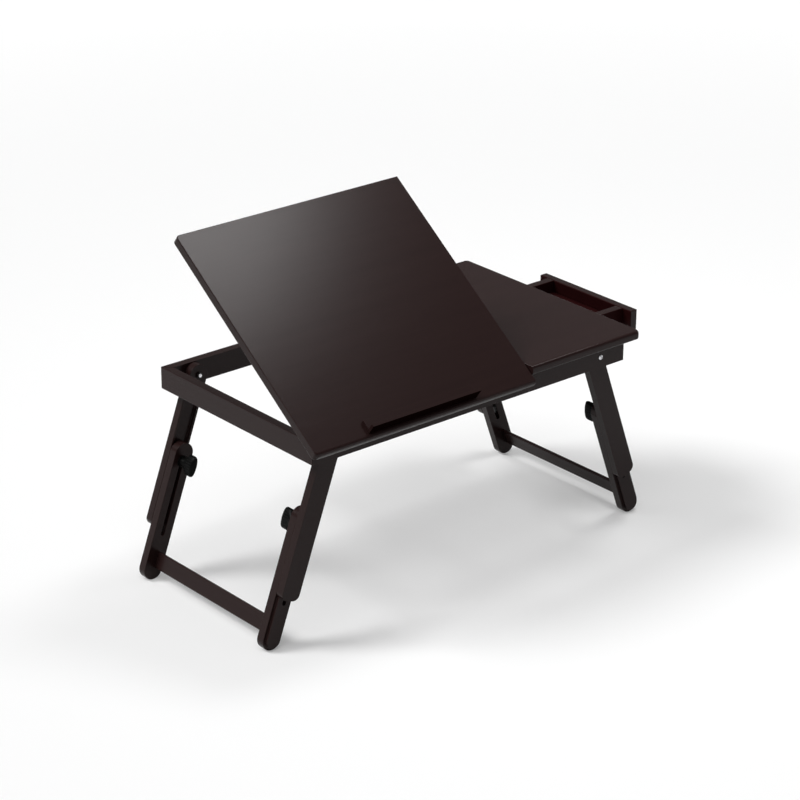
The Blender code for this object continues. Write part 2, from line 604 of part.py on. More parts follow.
def build_leg_pair(root, side, sign):
    """Adds one end's two telescopic legs, hinged at the frame, with their crossbar."""
    fold = empty(f"fold_{side}", (sign * PIVOT_X, 0, PIVOT_HEIGHT), root, -sign * LEAN, "Y")
    slide = empty(f"extend_{side}", (0, 0, 0), fold)
    lower_face = 0
    for place, way in (("front", -1), ("back", 1)):
        tag = f"{place}_{side}"

        # Upper leg with its channel, bolt hole and blind hole for the insert
        outer = FRAME_DEPTH / 2 - UPPER_LEG_SETBACK
        inner = outer - UPPER_LEG_THICKNESS
        floor = inner + CHANNEL_DEPTH
        outline = bar_outline(UPPER_LEG_WIDTH / 2, 0, -UPPER_LEG_LENGTH, UPPER_LEG_CORNER)
        upper = add(f"upper_leg_{tag}", plate("upper_leg", [(way * outer, outline), (way * inner, outline)]),
                    fold, "dark_lacquer")
        channel = bar_outline(CHANNEL_WIDTH / 2, -CHANNEL_START - CHANNEL_WIDTH / 2,
                              -UPPER_LEG_LENGTH - CHANNEL_WIDTH, UPPER_LEG_CORNER)
        groove = plate("channel", [(way * floor, channel), (way * (inner - CUT_OVERRUN), channel)])
        cut(upper, add(f"cut_channel_{tag}", groove, fold))
        hole = turned("pivot_hole", "Y", [(way * (outer + CUT_OVERRUN), BOLT_SHANK_RADIUS + GAP),
                                          (way * (inner - CUT_OVERRUN), BOLT_SHANK_RADIUS + GAP)])
        cut(upper, add(f"cut_pivot_{tag}", hole, fold))
        insert_end = floor + INSERT_LENGTH
        clamp = (0, -CLAMP_REACH)
        pocket = turned("insert_hole", "Y", [(way * (insert_end + GAP), INSERT_RADIUS + GAP),
                                             (way * (floor - CUT_OVERRUN), INSERT_RADIUS + GAP)], clamp)
        cut(upper, add(f"cut_insert_{tag}", pocket, fold))
        ring = turned(f"leg_insert_{tag}", "Y", [(way * floor, INSERT_RADIUS),
                                                 (way * insert_end, INSERT_RADIUS)], clamp)
        insert = add(f"leg_insert_{tag}", ring, fold, "brass")
        bore = turned("insert_bore", "Y", [(way * (floor - CUT_OVERRUN), SCREW_RADIUS + GAP),
                                           (way * (insert_end + CUT_OVERRUN), SCREW_RADIUS + GAP)], clamp)
        cut(insert, add(f"cut_insert_bore_{tag}", bore, fold))

        # Lower leg: a body with a narrower tongue that runs in the channel, and a slot through both
        near = inner - LOWER_LEG_PLAY
        far = near - LOWER_LEG_THICKNESS
        tip = near + TONGUE_DEPTH
        half, thin = LOWER_LEG_WIDTH / 2, TONGUE_WIDTH / 2
        body = bar_outline(half, -LOWER_LEG_TOP, -LEG_REACH - half, half)
        tongue = bar_outline(thin, -LOWER_LEG_TOP, -LEG_REACH - thin, thin)
        lower = add(f"lower_leg_{tag}", plate("lower_leg", [(way * far, body), (way * near, body),
                                                            (way * near, tongue), (way * tip, tongue)]),
                    slide, "dark_lacquer")
        slot = bar_outline(SLOT_WIDTH / 2, -CLAMP_REACH, -SLOT_LOW_END, SLOT_WIDTH / 2, ROUND_STEPS // 2)
        cut(lower, add(f"cut_slot_{tag}", plate("slot", [(way * (far - CUT_OVERRUN), slot),
                                                         (way * (tip + CUT_OVERRUN), slot)]), slide))
        lower_face = far

        build_bolt(root, tag, sign, way, inner)
        build_knob(fold, tag, way, far, insert_end, KNOB_TURNS[side])

    # Crossbar between the lower legs
    middle = -LEG_REACH + CROSSBAR_LIFT
    reach = lower_face - GAP
    bar = add(f"crossbar_{side}", box("crossbar", (0, -reach, middle - CROSSBAR_HEIGHT / 2),
                                      (CROSSBAR_THICKNESS, reach, middle + CROSSBAR_HEIGHT / 2)),
              slide, "dark_lacquer")
    soften(bar, SOFT_EDGE, 1)


def build_bolt(root, tag, sign, way, inner):
    """Adds the pivot bolt through the rail and the upper leg, and its nut inside."""
    face = FRAME_DEPTH / 2
    nut_near = inner - GAP
    nut_far = nut_near - NUT_THICKNESS
    head = [(face + GAP + rise_share * BOLT_HEAD_THICKNESS, radius_share * BOLT_HEAD_RADIUS)
            for rise_share, radius_share in BOLT_HEAD_SHARES]
    head += [(face + GAP, BOLT_SHANK_RADIUS), (nut_far - BOLT_TIP, BOLT_SHANK_RADIUS)]
    spot = (sign * PIVOT_X, 0, PIVOT_HEIGHT)
    bolt = turned(f"pivot_bolt_{tag}", "Y", [(way * y, radius) for y, radius in head])
    add(f"pivot_bolt_{tag}", bolt, root, "bright_steel", spot)
    corner = NUT_ACROSS_FLATS / sqrt(3)
    hexagon = turned("pivot_nut", "Y", [(way * nut_near, corner), (way * nut_far, corner)], steps=6)
    nut = add(f"pivot_nut_{tag}", hexagon, root, "dark_steel", spot)
    bore = turned("nut_bore", "Y", [(way * (nut_near + CUT_OVERRUN), BOLT_SHANK_RADIUS + GAP),
                                    (way * (nut_far - CUT_OVERRUN), BOLT_SHANK_RADIUS + GAP)])
    cut(nut, add(f"cut_nut_{tag}", bore, root, location=spot))


def build_knob(fold, tag, way, face, insert_end, angle):
    """Adds a wing knob with its washer and its screw through the slot into the insert."""
    turn = empty(f"knob_{tag}", (0, 0, -CLAMP_REACH), fold, angle)
    washer_top = face - GAP
    washer_low = washer_top - WASHER_THICKNESS
    washer = add(f"knob_washer_{tag}", turned("knob_washer", "Y", [(way * washer_top, WASHER_RADIUS),
                                                                   (way * washer_low, WASHER_RADIUS)]),
                 turn, "black_plastic")
    bore = turned("washer_bore", "Y", [(way * (washer_top + CUT_OVERRUN), SCREW_RADIUS + GAP),
                                       (way * (washer_low - CUT_OVERRUN), SCREW_RADIUS + GAP)])
    cut(washer, add(f"cut_washer_{tag}", bore, turn))
    start = washer_low - GAP

    # The knob's section grows from a round neck into a long wing
    stations = [(share, across * KNOB_NECK_RADIUS, reach * KNOB_NECK_RADIUS)
                for share, across, reach in KNOB_NECK_SHARES]
    stations += [(share, across * KNOB_WING_THICKNESS / 2, reach * KNOB_WING_REACH)
                 for share, across, reach in KNOB_WING_SHARES]
    rings = []
    steps = 3 * ROUND_STEPS
    for share, across, reach in stations:
        ring = []
        for index in range(steps):
            around = 2 * pi * index / steps
            ring.append((across * cos(around), way * (start - share * KNOB_LENGTH), reach * sin(around)))
        rings.append(ring)
    knob = add(f"wing_knob_{tag}", loft("wing_knob", rings), turn, "black_plastic")
    screw_in = start - SCREW_HEAD_BITE
    socket = turned("screw_socket", "Y", [(way * (start + CUT_OVERRUN), SCREW_RADIUS + GAP),
                                          (way * (screw_in - GAP), SCREW_RADIUS + GAP)])
    cut(knob, add(f"cut_socket_{tag}", socket, turn))
    screw = turned(f"clamp_screw_{tag}", "Y", [(way * screw_in, SCREW_RADIUS),
                                               (way * insert_end, SCREW_RADIUS)])
    add(f"clamp_screw_{tag}", screw, turn, "bright_steel")


def settle(root):
    """Moves the whole table so that its bounding box is centred over the origin, feet at Z 0."""
    bpy.context.view_layer.update()
    graph = bpy.context.evaluated_depsgraph_get()
    places = []
    for item in bpy.context.scene.objects:
        if item.type != "MESH" or item.hide_render:
            continue
        shape = item.evaluated_get(graph).to_mesh()
        places += [item.matrix_world @ vertex.co for vertex in shape.vertices]
        item.evaluated_get(graph).to_mesh_clear()
    low = Vector([min(place[axis] for place in places) for axis in range(3)])
    high = Vector([max(place[axis] for place in places) for axis in range(3)])
    root.location = (-(low.x + high.x) / 2, -(low.y + high.y) / 2, -low.z)
    bpy.context.view_layer.update()


def main():
    clear_scene()
    root = empty("table_origin", (0, 0, 0))
    build_frame(root)
    build_fixed_panel(root)
    build_divider(root)
    build_runners(root)
    build_hinge_pins(root)
    tilt = empty("tilt_axis", (0, HINGE_Y, HINGE_Z), root, TILT_ANGLE, "X")
    build_tilting_panel(tilt)
    build_prop(tilt)
    slide = empty("drawer_slide", (FRAME_LENGTH / 2 + GAP + DRAWER_TRAVEL, 0, 0), root)
    build_drawer(slide)
    build_leg_pair(root, "left", -1)
    build_leg_pair(root, "right", 1)
    settle(root)


main()
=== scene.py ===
import json
import math

import bmesh
import bpy
from mathutils import Matrix, Vector


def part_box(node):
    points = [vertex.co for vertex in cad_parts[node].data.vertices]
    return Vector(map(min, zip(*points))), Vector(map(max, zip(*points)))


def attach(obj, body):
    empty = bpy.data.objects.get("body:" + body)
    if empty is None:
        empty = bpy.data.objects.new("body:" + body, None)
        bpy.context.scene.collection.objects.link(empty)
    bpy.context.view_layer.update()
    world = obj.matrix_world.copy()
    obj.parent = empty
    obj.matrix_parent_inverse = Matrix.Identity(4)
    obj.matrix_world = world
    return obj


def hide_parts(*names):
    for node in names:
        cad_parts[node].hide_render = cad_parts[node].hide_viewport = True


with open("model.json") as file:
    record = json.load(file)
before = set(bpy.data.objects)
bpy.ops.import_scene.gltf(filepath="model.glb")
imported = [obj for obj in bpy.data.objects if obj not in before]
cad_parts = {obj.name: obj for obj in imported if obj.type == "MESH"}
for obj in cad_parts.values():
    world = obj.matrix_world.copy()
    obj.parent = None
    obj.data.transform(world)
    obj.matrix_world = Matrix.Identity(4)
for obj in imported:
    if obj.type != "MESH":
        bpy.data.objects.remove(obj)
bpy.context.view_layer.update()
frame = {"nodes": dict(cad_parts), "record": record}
bodies = frame["record"]["behaviour"]["bodies"]
nodeBody = {node: body for body, nodes in bodies.items() for node in nodes}
slotOf = {part["node"]: part["material_slot"] for part in frame["record"]["subparts"]}
print("frame loaded:", len(frame["nodes"]), "nodes")

# The two pairs of legs lean out by this much, and the left part of the top stands raised
pose = {"lean": math.radians(20), "tilt": math.radians(36.2)}


def addObject(name, data):
    made = bpy.data.objects.new(name, data)
    bpy.context.collection.objects.link(made)
    return made


# Small helpers for trees of nodes

def addSockets(tree, way, sockets):
    # Each socket is given as its name, its kind and, where it has one, its first value
    for label, kind, *value in sockets:
        socket = tree.interface.new_socket(name=label, in_out=way, socket_type="NodeSocket" + kind)
        if value:
            socket.default_value = value[0]


def addNode(tree, kind, **settings):
    node = tree.nodes.new(kind)
    for key, value in settings.items():
        setattr(node, key, value)
    return node


def feed(tree, socket, value):
    # Links another node's output to the socket, or sets a plain value on it
    if hasattr(value, "is_output"):
        tree.links.new(value, socket)
    else:
        socket.default_value = value


def wire(tree, node, **values):
    # Feeds a node's inputs by name, with spaces written as underscores; one at the end is dropped
    for key, value in values.items():
        feed(tree, node.inputs[key.rstrip("_").replace("_", " ")], value)
    return node


def mathNode(tree, operation, first, second=None, clamp=False):
    node = addNode(tree, "ShaderNodeMath", operation=operation, use_clamp=clamp)
    feed(tree, node.inputs[0], first)
    if second is not None:
        feed(tree, node.inputs[1], second)
    return node.outputs[0]


def noiseNode(tree, vector, scale, detail, roughness):
    noise = wire(tree, addNode(tree, "ShaderNodeTexNoise"), Vector=vector, Scale=scale, Detail=detail,
                 Roughness=roughness)
    return noise.outputs["Fac"]


def mixColour(tree, factor, first, second):
    # The Mix node keeps its colours on the sockets 6 and 7, and its mixed colour on 2
    node = addNode(tree, "ShaderNodeMix", data_type="RGBA")
    for index, value in ((0, factor), (6, first), (7, second)):
        feed(tree, node.inputs[index], value)
    return node.outputs[2]


def useGroup(tree, group, **values):
    return wire(tree, addNode(tree, "ShaderNodeGroup", node_tree=group), **values).outputs


def rangeNode(tree, value, low, high, start=0.0, end=1.0, soft=False):
    # Maps low to start and high to end
    node = addNode(tree, "ShaderNodeMapRange", interpolation_type="SMOOTHSTEP" if soft else "LINEAR")
    return wire(tree, node, Value=value, From_Min=low, From_Max=high, To_Min=start, To_Max=end).outputs["Result"]


def bumpNode(tree, height, distance, strength):
    node = addNode(tree, "ShaderNodeBump")
    return wire(tree, node, Height=height, Distance=distance, Strength=strength).outputs["Normal"]


def seenByEye(tree, rays):
    # One for the rays that reach the eye: straight from the camera, mirrored or through glass
    seen = mathNode(tree, "MAXIMUM", rays["Is Camera Ray"], rays["Is Glossy Ray"])
    return mathNode(tree, "MAXIMUM", seen, rays["Is Transmission Ray"])


# Shader groups, which several materials share

def startGroup(name, inputs, outputs):
    tree = bpy.data.node_groups.new(name, "ShaderNodeTree")
    addSockets(tree, "INPUT", inputs)
    addSockets(tree, "OUTPUT", outputs)
    return tree, tree.nodes.new("NodeGroupInput").outputs, tree.nodes.new("NodeGroupOutput").inputs


# The scales stretch the noise along X, so the grain runs that way
grainValues = {"bandScale": (4, 60, 60), "poreScale": (25, 900, 900), "poreFrom": 0.55, "poreTo": 0.72}


def makeGrainGroup():
    # Long pores and bands of timber under the lacquer
    tree, start, end = startGroup("timberGrain", [("Vector", "Vector")], [("Bands", "Float"), ("Pores", "Float")])
    broad = wire(tree, addNode(tree, "ShaderNodeMapping"), Vector=start["Vector"], Scale=grainValues["bandScale"])
    feed(tree, end["Bands"], noiseNode(tree, broad.outputs["Vector"], scale=1.0, detail=5, roughness=0.6))
    fine = wire(tree, addNode(tree, "ShaderNodeMapping"), Vector=start["Vector"], Scale=grainValues["poreScale"])
    pores = noiseNode(tree, fine.outputs["Vector"], scale=1.0, detail=2, roughness=0.5)
    feed(tree, end["Pores"], rangeNode(tree, pores, grainValues["poreFrom"], grainValues["poreTo"]))
    return tree


# How far wear reaches in from an edge, and how much the rounded normal turns there
wearValues = {"reach": 0.0012, "samples": 4, "turnFrom": 0.995, "turnTo": 0.90, "patchScale": 90.0}


def makeWearGroup():
    # A mask of rubbed edges, broken up by noise
    tree, start, end = startGroup("rubbedEdges", [("Reach", "Float", wearValues["reach"]), ("Vector", "Vector")],
                                  [("Mask", "Float")])
    rounded = wire(tree, addNode(tree, "ShaderNodeBevel", samples=wearValues["samples"]), Radius=start["Reach"])
    surface = addNode(tree, "ShaderNodeNewGeometry")
    likeness = addNode(tree, "ShaderNodeVectorMath", operation="DOT_PRODUCT")
    feed(tree, likeness.inputs[0], rounded.outputs["Normal"])
    feed(tree, likeness.inputs[1], surface.outputs["Normal"])
    edge = rangeNode(tree, likeness.outputs["Value"], wearValues["turnFrom"], wearValues["turnTo"])
    breakUp = noiseNode(tree, start["Vector"], wearValues["patchScale"], detail=3, roughness=0.6)
    feed(tree, end["Mask"], mathNode(tree, "MULTIPLY", edge, breakUp, clamp=True))
    return tree


smudgeValues = {"scale": 9.0, "detail": 3, "distortion": 0.4}


def makeSmudgeGroup():
    # Broad soft patches where hands and cloths have polished the surface
    tree, start, end = startGroup("handSmudges", [("Vector", "Vector"), ("Scale", "Float", smudgeValues["scale"])],
                                  [("Mask", "Float")])
    patches = wire(tree, addNode(tree, "ShaderNodeTexNoise"), Vector=start["Vector"], Scale=start["Scale"],
                   Detail=smudgeValues["detail"], Distortion=smudgeValues["distortion"])
    feed(tree, end["Mask"], patches.outputs["Fac"])
    return tree


grainGroup = makeGrainGroup()
wearGroup = makeWearGroup()
smudgeGroup = makeSmudgeGroup()


# Materials

def startMaterial(name):
    # Gives back the place on the piece too, which every pattern reads
    material = bpy.data.materials.new(name)
    material.use_nodes = True
    tree = material.node_tree
    place = addNode(tree, "ShaderNodeTexCoord").outputs["Object"]
    return material, tree, tree.nodes["Principled BSDF"], place


# Dark lacquer over timber, one material for each direction of the grain
lacquer = {"dark": (0.0164, 0.0076, 0.0072, 1), "light": (0.0224, 0.0108, 0.0102, 1),
           "worn": (0.045, 0.026, 0.021, 1), "roughness": 0.257, "polish": 0.012, "specular": 0.135,
           "bump": 0.00003}
lacquerShares = {"wornColour": 0.5, "bump": 0.5}


def lacquerMaterial(name, turn, colours=lacquer):
    material, tree, shader, place = startMaterial(name)
    along = wire(tree, addNode(tree, "ShaderNodeMapping"), Vector=place, Rotation=turn)
    grain = useGroup(tree, grainGroup, Vector=along.outputs["Vector"])
    wear = useGroup(tree, wearGroup, Vector=place)
    smudge = useGroup(tree, smudgeGroup, Vector=place)
    base = mixColour(tree, grain["Bands"], colours["dark"], colours["light"])
    rubbed = mathNode(tree, "MULTIPLY", wear["Mask"], lacquerShares["wornColour"])
    base = mixColour(tree, rubbed, base, colours["worn"])
    gloss = rangeNode(tree, smudge["Mask"], 0.0, 1.0, colours["roughness"] - colours["polish"],
                      colours["roughness"] + colours["polish"])
    depth = mathNode(tree, "MULTIPLY", grain["Pores"], -1.0)
    relief = bumpNode(tree, depth, colours["bump"], lacquerShares["bump"])
    wire(tree, shader, Base_Color=base, Roughness=gloss, Specular_IOR_Level=colours["specular"], Normal=relief)
    return material


grainTurns = {"lacquerAlongX": (0, 0, 0), "lacquerAlongY": (0, 0, math.pi / 2),
              "lacquerLeftLegs": (0, math.pi / 2 - pose["lean"], 0),
              "lacquerRightLegs": (0, math.pi / 2 + pose["lean"], 0)}
lacquers = {name: lacquerMaterial(name, turn) for name, turn in grainTurns.items()}

# Painted shade: the drawer's inside is coloured a dull dark red, darker than the lacquer outside, standing in for
# the shade inside the box
drawerPaintedShade = {"dark": (0.0130, 0.0022, 0.0023, 1), "light": (0.0190, 0.0034, 0.0035, 1),
                "worn": (0.035, 0.012, 0.010, 1), "roughness": 0.6, "polish": 0.06, "specular": 0.03,
                "bump": 0.00005}
lacquers["drawerPaintedShade"] = lacquerMaterial("drawerPaintedShade", (0, 0, 0), drawerPaintedShade)

# Painted shade: the stop's front face is coloured darker than the top and given no gloss, standing in for shade on
# that face
stopFrontPaintedShade = {"dark": (0.0060, 0.0020, 0.0018, 1), "light": (0.0080, 0.0029, 0.0025, 1),
              "worn": (0.022, 0.011, 0.009, 1), "roughness": 0.65, "polish": 0.05, "specular": 0.0,
              "bump": 0.00004}
lacquers["stopFrontPaintedShade"] = lacquerMaterial("stopFrontPaintedShade", (0, 0, 0), stopFrontPaintedShade)


# The knobs' moulded plastic, finely pitted
plastic = {"colour": (0.0035, 0.0037, 0.0035, 1), "worn": (0.016, 0.016, 0.016, 1), "wornReach": 0.0008,
           "roughness": 0.34, "specular": 0.05, "pitScale": 2500.0, "pitDepth": 0.00004, "pitShare": 0.35}


def plasticMaterial():
    material, tree, shader, place = startMaterial("blackPlastic")
    wear = useGroup(tree, wearGroup, Vector=place, Reach=plastic["wornReach"])
    base = mixColour(tree, wear["Mask"], plastic["colour"], plastic["worn"])
    pits = noiseNode(tree, place, plastic["pitScale"], detail=2, roughness=0.5)
    relief = bumpNode(tree, pits, plastic["pitDepth"], plastic["pitShare"])
    wire(tree, shader, Base_Color=base, Roughness=plastic["roughness"], Specular_IOR_Level=plastic["specular"],
         Normal=relief)
    return material


metals = {
    "brightSteel": {"bright": (0.80, 0.80, 0.82, 1), "dull": (0.62, 0.62, 0.64, 1), "roughness": 0.22},
    "hingeSteel": {"bright": (0.46, 0.46, 0.47, 1), "dull": (0.32, 0.32, 0.33, 1), "roughness": 0.36},
    "darkSteel": {"bright": (0.035, 0.032, 0.03, 1), "dull": (0.022, 0.02, 0.019, 1), "roughness": 0.38},
    "turnedBrass": {"bright": (0.70, 0.50, 0.20, 1), "dull": (0.50, 0.34, 0.12, 1), "roughness": 0.25},
}
metalNoise = {"patchScale": 160.0, "scratchScale": 1400.0, "scratchRoughness": 0.15}


def metalMaterial(name):
    values = metals[name]
    material, tree, shader, place = startMaterial(name)
    patches = noiseNode(tree, place, metalNoise["patchScale"], detail=3, roughness=0.6)
    scratches = noiseNode(tree, place, metalNoise["scratchScale"], detail=2, roughness=0.5)
    base = mixColour(tree, patches, values["bright"], values["dull"])
    gloss = rangeNode(tree, scratches, 0.0, 1.0, values["roughness"],
                      values["roughness"] + metalNoise["scratchRoughness"])
    wire(tree, shader, Base_Color=base, Metallic=1.0, Roughness=gloss)
    return material


blackPlastic = plasticMaterial()
metalFinishes = {name: metalMaterial(name) for name in metals}
print("materials made")

# The material of each slot that isn't lacquered, and the pieces whose grain runs from front to back
brightSteel = metalFinishes["brightSteel"]
slotFinishes = {"black_plastic": blackPlastic, "bright_steel": brightSteel,
                "dark_steel": metalFinishes["darkSteel"], "brass": metalFinishes["turnedBrass"],
                # The drawer_wood slot takes the dark red painted shade of the drawer's inside
                "drawer_wood": lacquers["drawerPaintedShade"]}
grainAcross = ("left_rail", "right_rail", "divider", "prop_rack", "prop_strut", "drawer_front", "drawer_back",
               "crossbar_left", "crossbar_right")


def finishOf(node):
    # Picks the material of a node, with the grain along its length
    if node.startswith("hinge"):
        return metalFinishes["hingeSteel"]
    if slotOf[node] in slotFinishes:
        return slotFinishes[slotOf[node]]
    if "leg" in node:
        return lacquers["lacquerLeftLegs" if node.endswith("left") else "lacquerRightLegs"]
    return lacquers["lacquerAlongY" if node in grainAcross else "lacquerAlongX"]


# Timber and metal pieces: the frame's shapes with their edges eased

# Edges sharper than "eased" are rounded, and those sharper than "creased" stay crisp in the shading
easing = {"timber": 0.0009, "metal": 0.0002, "segments": 3, "eased": 40, "creased": 35, "flat": 0.5,
          "mergeGap": 0.000005, "faceWeight": 90}


def applyModifiers(piece):
    graph = bpy.context.evaluated_depsgraph_get()
    final = bpy.data.meshes.new_from_object(piece.evaluated_get(graph), depsgraph=graph)
    piece.modifiers.clear()
    piece.data = final


def settleShape(piece):
    # Applies what is on the piece, then lets the large flat faces rule the shading of their rounded edges
    applyModifiers(piece)
    piece.data.shade_smooth()
    piece.data.set_sharp_from_angle(angle=math.radians(easing["creased"]))
    rule = piece.modifiers.new("faceNormals", "WEIGHTED_NORMAL")
    rule.weight = easing["faceWeight"]
    rule.keep_sharp = True
    applyModifiers(piece)


def easedCopy(node, width):
    # Joins the node's loose triangles into true faces, then rounds its sharp edges
    shape = bmesh.new()
    shape.from_mesh(frame["nodes"][node].data)
    bmesh.ops.remove_doubles(shape, verts=shape.verts, dist=easing["mergeGap"])
    bmesh.ops.dissolve_limit(shape, angle_limit=math.radians(easing["flat"]), verts=shape.verts, edges=shape.edges)
    data = bpy.data.meshes.new(node + "_eased")
    shape.to_mesh(data)
    shape.free()
    piece = addObject(node + "_eased", data)
    if width:
        bevel = piece.modifiers.new("easedEdges", "BEVEL")
        bevel.width = width
        bevel.segments = easing["segments"]
        bevel.limit_method = "ANGLE"
        bevel.angle_limit = math.radians(easing["eased"])
    settleShape(piece)
    return piece


# Faces that look these ways get a second colour: painted shade on the drawer's inside, and painted shade without
# gloss on the stop's front
otherFaces = {
    "drawer_front": ("drawerPaintedShade", [(-1, 0, 0)]),
    "drawer_back": ("drawerPaintedShade", [(1, 0, 0), (-1, 0, 0)]),
    "drawer_side_front": ("drawerPaintedShade", [(0, 1, 0), (0, -1, 0)]),
    "drawer_side_back": ("drawerPaintedShade", [(0, 1, 0), (0, -1, 0)]),
    # Painted shade on the stop's front face, which faces forward and down
    "book_stop": ("stopFrontPaintedShade", [(0, -math.cos(pose["tilt"]), -math.sin(pose["tilt"]))]),
}


def seat(piece, node, material):
    # Gives a finished piece its material, its body and the node that it stands for
    piece.data.materials.clear()
    piece.data.materials.append(material)
    if node in otherFaces:
        name, ways = otherFaces[node]
        piece.data.materials.append(lacquers[name])
        for face in piece.data.polygons:
            if any(face.normal.dot(Vector(way)) > 0.5 for way in ways):  # Within 60 degrees of that way
                face.material_index = 1
    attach(piece, nodeBody[node])
    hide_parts(node)


# Geometry Nodes: threaded screws, and ribs on the knobs' wings

def startTree(name, inputs):
    tree = bpy.data.node_groups.new(name, "GeometryNodeTree")
    addSockets(tree, "INPUT", [("Geometry", "Geometry")] + inputs)
    addSockets(tree, "OUTPUT", [("Geometry", "Geometry")])
    return tree, tree.nodes.new("NodeGroupInput").outputs, tree.nodes.new("NodeGroupOutput").inputs


def combine(tree, x, y, z):
    return wire(tree, addNode(tree, "ShaderNodeCombineXYZ"), X=x, Y=y, Z=z).outputs[0]


def readPlace(tree):
    # The X, Y and Z of each point
    place = addNode(tree, "GeometryNodeInputPosition").outputs[0]
    return wire(tree, addNode(tree, "ShaderNodeSeparateXYZ"), Vector=place).outputs


def setPlace(tree, geometry, place):
    return wire(tree, addNode(tree, "GeometryNodeSetPosition"), Geometry=geometry, Position=place).outputs[0]


def moveUp(tree, geometry, height):
    move = addNode(tree, "GeometryNodeTransform")
    return wire(tree, move, Geometry=geometry, Translation=combine(tree, 0, 0, height)).outputs[0]


def onlyIf(tree, switch, geometry):
    choice = addNode(tree, "GeometryNodeSwitch", input_type="GEOMETRY")
    return wire(tree, choice, Switch=switch, True_=geometry).outputs[0]


def endTree(tree, geometry, material, end):
    real = wire(tree, addNode(tree, "GeometryNodeRealizeInstances"), Geometry=geometry)
    done = wire(tree, addNode(tree, "GeometryNodeSetMaterial"), Geometry=real.outputs[0], Material=material)
    tree.links.new(done.outputs[0], end[0])


# The faces of a screw; the dome falls off with this power of the radius, by this share of its height
screwForm = {"shankSides": 20, "headSides": 32, "headRings": 6, "domePower": 2.4, "domeDrop": 0.75,
             "slotReach": 1.2, "leastSink": 0.00001}


